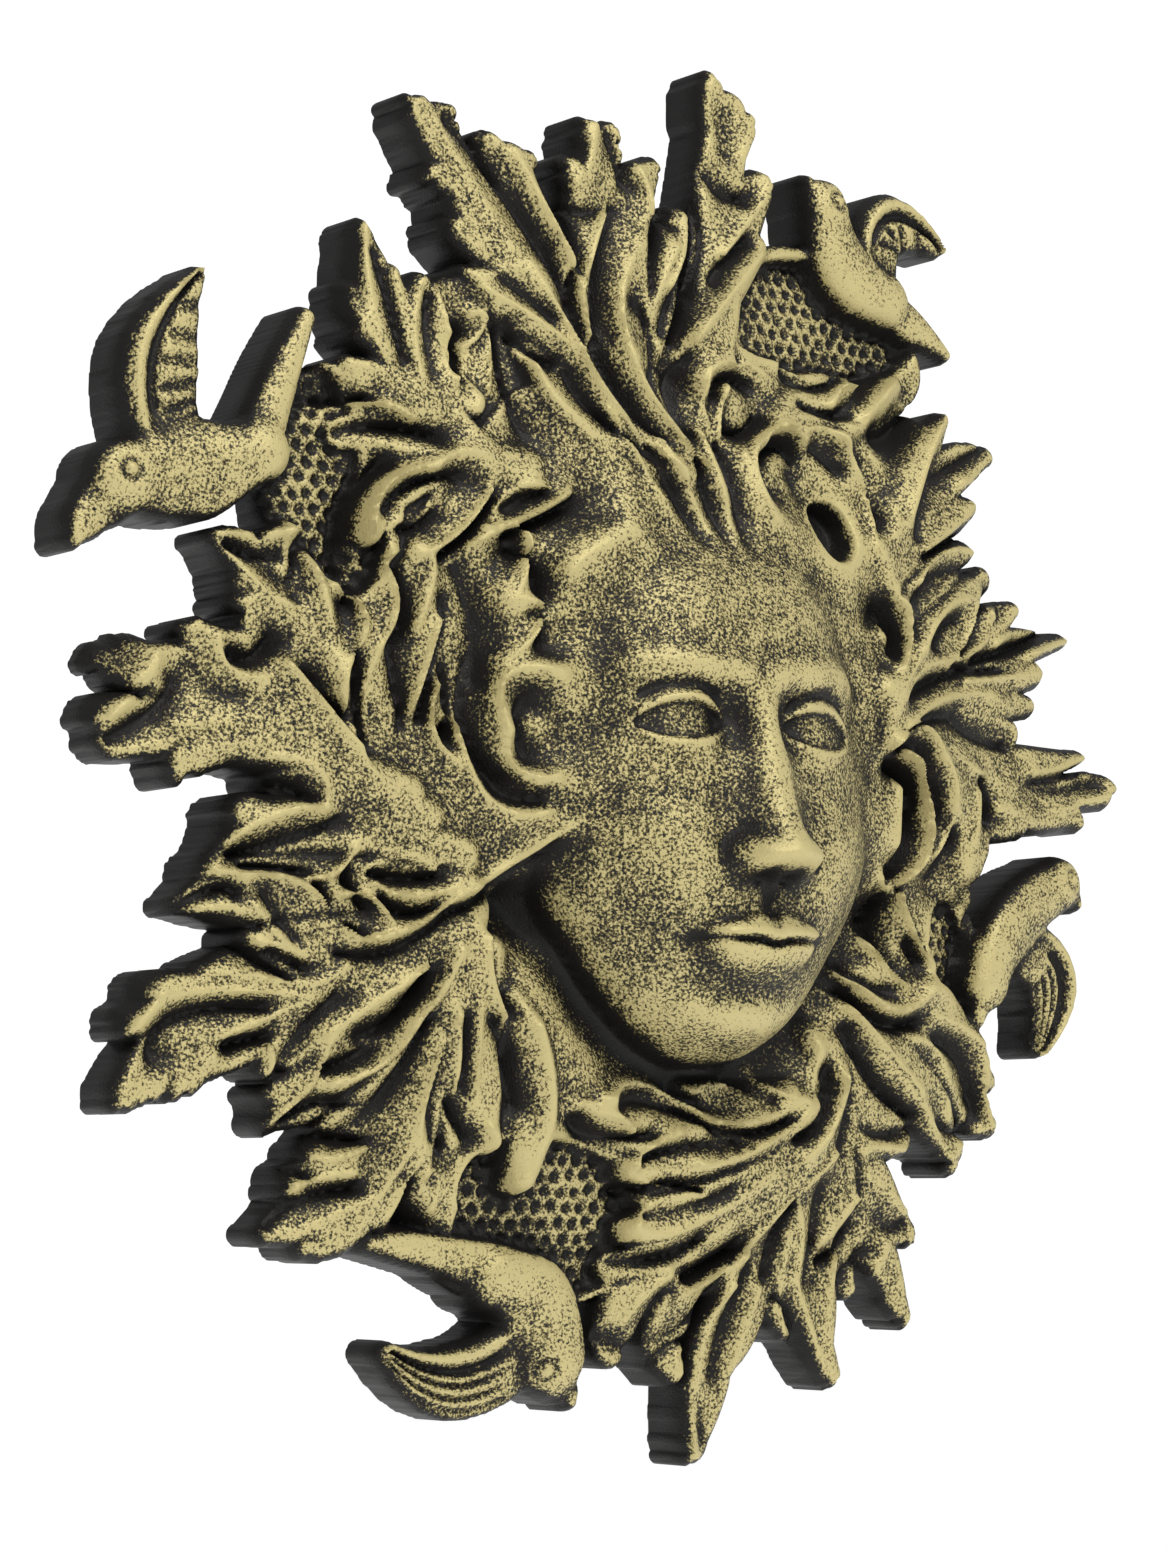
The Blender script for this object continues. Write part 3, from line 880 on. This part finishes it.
def buildRelief():
    step = plaque["gridStep"]
    xs = np.arange(plaque["left"], plaque["right"] + step / 2, step)
    zs = np.arange(plaque["low"], plaque["high"] + step / 2, step)
    x, z = np.meshgrid(xs, zs)
    slab = slabDepth(x, z)
    inside = np.full(x.shape, -1e3)
    for oval in grounds:
        inside = np.maximum(inside, (1 - ovalAway(x, z, oval)) * min(oval[2:4]))
    netted = np.zeros(x.shape)
    for oval in nets:
        netted = np.maximum(netted, ease((1.04 - ovalAway(x, z, oval)) / 0.14))
    low = slab - plaque["floorDrop"] - (plaque["netDrop"] - plaque["floorDrop"]) * netted
    rise = np.zeros(x.shape)
    leafShare = np.zeros(x.shape)
    for leaf in leaves.values():
        for lobe in leaf["lobes"]:
            path = curve(lobe[0:2], lobe[2:4], lobe[4:6], plaque["curveSteps"])
            w = windowOf(path, lobe[7] + 8)
            away, share, _ = nearest(x[w], z[w], path)
            depth = lobeWidth(share, *lobe[6:9]) + plaque["sideDraft"] - away
            inside[w] = np.maximum(inside[w], depth)
            leafShare[w] = np.maximum(leafShare[w], ease((depth + 2) / 3))
            rise[w] = np.maximum(rise[w], ease((depth + 1.5) / plaque["shoulder"]) * (leaf["lift"] + plaque["floorDrop"]))
    fold = foldField(x, z, inside)
    open_ = np.maximum(1 - netted, leafShare)
    bare = ease(netted * (1 - leafShare))
    floor = slab - plaque["floorDrop"]
    height = low + (floor - low) * leafShare + rise + np.where(fold > 0, fold * open_, fold * np.maximum(open_, 0.6))
    for x0, z0, x1, z1, slope, drop in facets:
        run = np.hypot(x1 - x0, z1 - z0)
        beyond = ((x1 - x0) * (z - z0) - (z1 - z0) * (x - x0)) / run
        along = ((x - x0) * (x1 - x0) + (z - z0) * (z1 - z0)) / run / run
        fall = np.clip(beyond * slope, -1, drop) * ease((along + 0.45) / 0.4) * ease((1.45 - along) / 0.4)
        height -= np.where(beyond > -1 / slope, np.maximum(fall, 0), 0) * (beyond < 25)
    height = height + netPits(x, z) * bare
    for oval in hollows:
        rho = ovalAway(x, z, oval)
        height = np.where(rho < 1.3, np.minimum(height, height - oval[4] * ease((1.2 - rho) / 0.5)), height)
    for bird in birds.values():
        addBird(x, z, slab, inside, height, bird)
    face, rho = headHeight(x, z)
    under = ease((head["z"] - 22 - z) / 30)
    height += (head["climb"] * bell((rho - 0.98) / 0.3)) * (1 - under) - 7.0 * bell((rho - 1.08) / 0.2) * under
    skin = face + fold * 0.8 * ease((rho - 0.66) / 0.26) * (1 - under)
    height = softMax(skin, height, 1.5 + 6.5 * (1 - under))
    q = np.clip(inside / plaque["edgeRound"], 0, 1)
    lip = plaque["edgeRound"] * (1 - np.sqrt(np.clip(1 - (1 - q) ** 2, 0, 1)))
    return xs, zs, x, z, inside, np.maximum(height, 4) - lip, bare, rho


def blurred(a, mask, sigma):  # Gaussian mean of a over the casting only: blur(a mask) / blur(mask)
    fz = np.fft.fftfreq(a.shape[0])[:, None]
    fx = np.fft.rfftfreq(a.shape[1])[None, :]
    soft = np.exp(-2 * (np.pi * sigma / plaque["gridStep"]) ** 2 * (fx * fx + fz * fz))
    top = np.fft.irfft2(np.fft.rfft2(a * mask) * soft, s=a.shape)
    return top / np.maximum(np.fft.irfft2(np.fft.rfft2(mask) * soft, s=a.shape), 1e-3)


def flooded(region, seed):  # grows seed inside region, one step each way at a time, until nothing changes
    full = region & seed
    count = -1
    while full.sum() != count:
        count = full.sum()
        for _ in range(24):
            grown = full.copy()
            grown[1:] |= full[:-1]
            grown[:-1] |= full[1:]
            grown[:, 1:] |= full[:, :-1]
            grown[:, :-1] |= full[:, 1:]
            full = grown & region
    return full


def onePiece(x, z, inside):  # keeps the middle piece, fills pinholes, opens the one real slit
    seed = np.hypot(x, z) < 20
    inside = np.where(flooded(inside > 0, seed), inside, np.minimum(inside, -0.3))
    border = np.zeros(x.shape, bool)
    border[0], border[-1], border[:, 0], border[:, -1] = True, True, True, True
    outer = flooded(inside <= 0, border)
    inside = np.where((inside <= 0) & ~outer, 0.6, inside)
    return np.minimum(inside, (ovalAway(x, z, slit) - 1) * min(slit[2:4]))


def clippedGrid(xs, zs, inside):
    # each grid cell cut at inside = 0: a table of corner (0-3) and crossing (4-7) points for the 16 cases
    sheets = {1: (0, 4, 7), 2: (4, 1, 5), 3: (0, 1, 5, 7), 4: (5, 2, 6), 5: (0, 4, 5, 2, 6, 7), 6: (4, 1, 2, 6), 7: (0, 1, 2, 6, 7), 8: (7, 6, 3), 9: (0, 4, 6, 3), 10: (4, 1, 5, 6, 3, 7), 11: (0, 1, 5, 6, 3), 12: (7, 5, 2, 3), 13: (0, 4, 5, 2, 3), 14: (4, 1, 2, 3, 7), 15: (0, 1, 2, 3)}
    rows, cols = inside.shape
    field = np.where(np.abs(inside) < 0.04, np.where(inside > 0, 0.04, -0.04), inside)
    on = field > 0
    case = on[:-1, :-1] * 1 + on[:-1, 1:] * 2 + on[1:, 1:] * 4 + on[1:, :-1] * 8
    ids = np.arange(rows * cols).reshape(rows, cols)
    size = rows * cols
    spots = [ids[:-1, :-1], ids[:-1, 1:], ids[1:, 1:], ids[1:, :-1], ids[:-1, :-1] + size, ids[:-1, 1:] + 2 * size, ids[1:, :-1] + size, ids[:-1, :-1] + 2 * size]
    faces = []
    rims = []
    for key, order in sheets.items():
        picked = case == key
        if picked.any():
            faces.append(np.stack([spots[k][picked] for k in order], 1))
            for a, b in zip(order, order[1:] + order[:1]):
                if a > 3 and b > 3 and (key not in (5, 10) or (a, b) in ((4, 5), (6, 7), (5, 6), (7, 4))):
                    rims.append(np.stack([spots[a][picked], spots[b][picked]], 1))
    used = np.unique(np.concatenate([f.ravel() for f in faces]))
    kind, node = used // size, used % size
    j, i = node // cols, node % cols
    here = field.ravel()[node]
    there = field.ravel()[np.where(kind == 1, node + 1, np.where(kind == 2, node + cols, node))]
    t = np.where(kind > 0, here / np.where(kind > 0, here - there, 1), 0)
    gi, gj = i + t * (kind == 1), j + t * (kind == 2)
    faces = [np.searchsorted(used, f) for f in faces]
    rims = np.searchsorted(used, np.concatenate(rims))
    return gi, gj, faces, rims


def sampled(a, gi, gj):  # bilinear reading of a grid
    i = np.clip(gi.astype(int), 0, a.shape[1] - 2)
    j = np.clip(gj.astype(int), 0, a.shape[0] - 2)
    u, v = gi - i, gj - j
    return (a[j, i] * (1 - u) + a[j, i + 1] * u) * (1 - v) + (a[j + 1, i] * (1 - u) + a[j + 1, i + 1] * u) * v


def castingMesh(name):
    xs, zs, x, z, inside, height, bare, rho = buildRelief()
    inside = onePiece(x, z, inside)
    mask = (inside > 0).astype(float)
    print("relief", round(float((height * mask).max()), 1), "mm deep")
    gi, gj, faces, rims = clippedGrid(xs, zs, inside)
    px, pz, top = xs[0] + gi * plaque["gridStep"], zs[0] + gj * plaque["gridStep"], sampled(height, gi, gj)
    slopeZ, slopeX = np.gradient(np.where(mask > 0, height, blurred(height, mask, 1.2)), plaque["gridStep"])
    marks = {
        "crest": sampled(height - blurred(height, mask, 1.6), gi, gj),
        "broad": sampled(height - blurred(height, mask, 4.5), gi, gj),
        "facing": sampled(1 / np.sqrt(1 + slopeX ** 2 + slopeZ ** 2), gi, gj),
        "netted": sampled(bare, gi, gj),
        "skin": sampled(ease((1 - rho) / 0.1), gi, gj),
        "wall": np.zeros(len(px)),
    }
    # sides: the rim is repeated at falling depths down to the back
    rim = np.unique(rims)
    place = np.full(len(px), -1)
    place[rim] = np.arange(len(rim))
    count = len(px)
    loops = place[rims]
    points = [np.stack([px, -top, pz], 1)]
    for share in plaque["sideRings"]:
        points.append(np.stack([px[rim], -top[rim] * share, pz[rim]], 1))
        for key in marks:
            marks[key] = np.concatenate([marks[key], np.full(len(rim), {"wall": 1.0, "facing": 0.0}.get(key, 0.0))])
    walls = []
    above = rims
    for ring in range(len(plaque["sideRings"])):
        below = loops + count + ring * len(rim)
        walls.append(np.stack([above[:, 1], above[:, 0], below[:, 0], below[:, 1]], 1))
        above = below
    # back: the rim's own triangulation, with triangles outside the outline dropped
    flat, _, tris, source, _, _ = delaunay_2d_cdt([Vector((a, b)) for a, b in zip(px[rim], pz[rim])], loops.tolist(), [], 0, 1e-7)
    tris = np.array(tris)
    source = np.array([s[0] for s in source])
    flat = np.array([[p.x, p.y] for p in flat])
    middle = flat[tris].mean(1)
    within = sampled(inside, (middle[:, 0] - xs[0]) / plaque["gridStep"], (middle[:, 1] - zs[0]) / plaque["gridStep"]) > 0
    back = source[tris[within]] + count + (len(plaque["sideRings"]) - 1) * len(rim)
    points = np.concatenate(points) * 0.001
    parts = [f[:, ::1] for f in faces] + walls + [back[:, ::-1]]
    mesh = bpy.data.meshes.new(name)
    starts, total = [], 0
    for f in parts:
        starts.append(total + np.arange(len(f)) * f.shape[1])
        total += f.size
    mesh.vertices.add(len(points))
    mesh.vertices.foreach_set("co", points.astype(np.float32).ravel())
    mesh.loops.add(total)
    mesh.loops.foreach_set("vertex_index", np.concatenate([f.ravel() for f in parts]).astype(np.int32))
    mesh.polygons.add(sum(len(f) for f in parts))
    mesh.polygons.foreach_set("loop_start", np.concatenate(starts).astype(np.int32))
    mesh.update(calc_edges=True)
    mesh.validate()
    mesh.polygons.foreach_set("use_smooth", np.ones(len(mesh.polygons), bool))
    for key, value in marks.items():
        mesh.attributes.new(key, "FLOAT", "POINT").data.foreach_set("value", value.astype(np.float32))
    mesh.set_sharp_from_angle(angle=1.1)
    return mesh


class Sock:  # a shader socket that takes part in Python arithmetic
    tree = None

    def __init__(self, socket):
        self.socket = socket

    @classmethod
    def make(cls, kind, settings=None, values=None, out=0):
        node = cls.tree.nodes.new(kind)
        for key, value in (settings or {}).items():
            if key == "stops":
                while len(node.color_ramp.elements) < len(value):
                    node.color_ramp.elements.new(0.5)
                for element, (place, tone) in zip(node.color_ramp.elements, value):
                    element.position, element.color = place, tone
            else:
                setattr(node, key, value)
        for key, value in (values or {}).items():
            if isinstance(value, Sock):
                cls.tree.links.new(value.socket, node.inputs[key])
            else:
                node.inputs[key].default_value = value
        return cls(node.outputs[out])

    @classmethod
    def math(cls, operation, *terms, clamp=False):
        return cls.make("ShaderNodeMath", {"operation": operation, "use_clamp": clamp}, dict(enumerate(terms)))

    def __add__(self, other): return Sock.math("ADD", self, other)
    def __radd__(self, other): return Sock.math("ADD", other, self)
    def __sub__(self, other): return Sock.math("SUBTRACT", self, other)
    def __rsub__(self, other): return Sock.math("SUBTRACT", other, self)
    def __mul__(self, other): return Sock.math("MULTIPLY", self, other)
    def __rmul__(self, other): return Sock.math("MULTIPLY", other, self)
    def __truediv__(self, other): return Sock.math("DIVIDE", self, other)

    def between(self, low, high):  # 0 below low, 1 above high, smooth in between
        return Sock.make("ShaderNodeMapRange", {"interpolation_type": "SMOOTHSTEP"}, {"Value": self, "From Min": low, "From Max": high})


def newMaterial(name):
    material = bpy.data.materials.new(name)
    material.use_nodes = True
    Sock.tree = material.node_tree
    Sock.tree.nodes.clear()
    return material


def mixTone(share, a, b):  # a where share is 0, b where it is 1
    return Sock.make("ShaderNodeMix", {"data_type": "RGBA"}, {"Factor": share, 6: a, 7: b}, 2)


finish = {
    "black": (0.0065, 0.006, 0.0055, 1), "olive": (0.15, 0.125, 0.05, 1), "gold": (0.50, 0.43, 0.20, 1),
    "speckSize": 0.0007, "blotchSize": 0.006, "speckle": 3.4, "blotches": 1.0,
    "crestGain": 0.55, "broadGain": 0.2, "faceGain": 1.1, "level": -0.2,
    "grainSize": 0.0006, "grainDepth": 0.0002,
    "paintRough": 0.5, "goldRough": 0.45, "goldMetal": 0.25, "shine": 0.22,
}


def brushedGold():
    # gold share = level + gains x (crest, broad, facing) + speckle, cut softly; black paint shows elsewhere
    material = newMaterial("brushedGold")
    mark = {key: Sock.make("ShaderNodeAttribute", {"attribute_name": key}, out=2) for key in ("crest", "broad", "facing", "netted", "skin", "wall")}
    spot = Sock.make("ShaderNodeTexCoord", out=3)
    fine = Sock.make("ShaderNodeTexNoise", {}, {"Vector": spot, "Scale": 1 / finish["speckSize"], "Detail": 2.0, "Roughness": 0.6})
    blotch = Sock.make("ShaderNodeTexNoise", {}, {"Vector": spot, "Scale": 1 / finish["blotchSize"], "Detail": 3.0, "Roughness": 0.6})
    grain = Sock.make("ShaderNodeTexNoise", {}, {"Vector": spot, "Scale": 1 / finish["grainSize"], "Detail": 2.0, "Roughness": 0.55})
    raised = mark["crest"] * finish["crestGain"] + mark["broad"] * finish["broadGain"] + (mark["facing"] - 0.6) * finish["faceGain"]
    gild = raised + finish["level"] + (fine - 0.5) * finish["speckle"] + (blotch - 0.5) * finish["blotches"] - mark["wall"] * 0.55
    low, high = gild.between(-0.25, 0.25), gild.between(0.1, 0.55)
    tone = mixTone(high, mixTone(low, finish["black"], finish["olive"]), finish["gold"])
    bump = Sock.make("ShaderNodeBump", {}, {"Strength": 1.0, "Distance": finish["grainDepth"], "Height": grain + fine * 0.5})
    shader = Sock.make("ShaderNodeBsdfPrincipled", {}, {
        "Base Color": tone,
        "Roughness": finish["paintRough"] + (finish["goldRough"] - finish["paintRough"]) * high,
        "Metallic": high * finish["goldMetal"],
        "Specular IOR Level": finish["shine"],
        "Normal": bump,
    })
    Sock.make("ShaderNodeOutputMaterial", {}, {"Surface": shader}, None) if False else Sock.tree.links.new(shader.socket, Sock.tree.nodes.new("ShaderNodeOutputMaterial").inputs[0])
    return material


casting = bpy.data.objects.new("casting", castingMesh("casting"))
bpy.context.scene.collection.objects.link(casting)
thin = casting.modifiers.new("thin", "DECIMATE")
thin.ratio = plaque["keep"]
casting.data.materials.append(brushedGold())
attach(casting, "root")
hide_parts("plaque_casting")
deps = bpy.context.evaluated_depsgraph_get()
made = casting.evaluated_get(deps).data
made.calc_loop_triangles()
print("casting", len(casting.data.vertices), "points before,", len(made.loop_triangles), "triangles after thinning")

studio = {"floorDown": -0.42, "floorHalf": 6.0, "key": 17, "keySize": 0.9, "fill": 3, "fillSize": 1.6, "world": 0.42}


def paleFloor():
    material = newMaterial("paleFloor")
    spot = Sock.make("ShaderNodeTexCoord", out=3)
    cloud = Sock.make("ShaderNodeTexNoise", {}, {"Vector": spot, "Scale": 3.0})
    shader = Sock.make("ShaderNodeBsdfPrincipled", {}, {"Base Color": mixTone(cloud, (0.93, 0.93, 0.93, 1), (0.96, 0.96, 0.96, 1)), "Roughness": 0.9, "Emission Color": (1, 1, 1, 1), "Emission Strength": 0.6})
    Sock.tree.links.new(shader.socket, Sock.tree.nodes.new("ShaderNodeOutputMaterial").inputs[0])
    half, down = studio["floorHalf"], studio["floorDown"]
    mesh = bpy.data.meshes.new("floor")
    mesh.from_pydata([(-half, -half, down), (half, -half, down), (half, half, down), (-half, half, down)], [], [(0, 1, 2, 3)])
    mesh.materials.append(material)
    floor = bpy.data.objects.new("floor", mesh)
    bpy.context.scene.collection.objects.link(floor)


def areaLight(name, place, power, size, tone):  # a square lamp that looks at the plaque
    lamp = bpy.data.lights.new(name, "AREA")
    lamp.energy, lamp.size, lamp.color = power, size, tone
    holder = bpy.data.objects.new(name, lamp)
    holder.location = place
    holder.rotation_euler = (-Vector(place)).to_track_quat("-Z", "Y").to_euler()
    bpy.context.scene.collection.objects.link(holder)


def studioWorld():  # white to look at, dimmer as a light
    world = bpy.data.worlds.new("studio")
    world.use_nodes = True
    Sock.tree = world.node_tree
    Sock.tree.nodes.clear()
    seen = Sock.make("ShaderNodeLightPath", out=0)
    shade = Sock.make("ShaderNodeBackground", {}, {"Color": (1, 1, 1, 1), "Strength": studio["world"] + seen * (1.05 - studio["world"])})
    Sock.tree.links.new(shade.socket, Sock.tree.nodes.new("ShaderNodeOutputWorld").inputs[0])
    bpy.context.scene.world = world


def frontLeftCamera():  # the photograph's place: 38 degrees round to the left, 6 degrees under
    lens = bpy.data.cameras.new("camera")
    lens.lens, lens.sensor_width = 94.19, 36
    lens.shift_x, lens.shift_y = -0.0229, -0.0043
    eye = bpy.data.objects.new("camera", lens)
    eye.location = (-0.6123, -0.7837, -0.1045)
    eye.rotation_euler = (-Vector(eye.location)).to_track_quat("-Z", "Y").to_euler()
    bpy.context.scene.collection.objects.link(eye)
    bpy.context.scene.camera = eye


paleFloor()
areaLight("key", (-0.2, -1.0, 1.1), studio["key"], studio["keySize"], (1, 0.98, 0.95))
areaLight("fill", (1.2, -1.1, 0.3), studio["fill"], studio["fillSize"], (0.96, 0.98, 1))
studioWorld()
frontLeftCamera()
bpy.context.scene.view_settings.view_transform = "Standard"
print("studio ready")
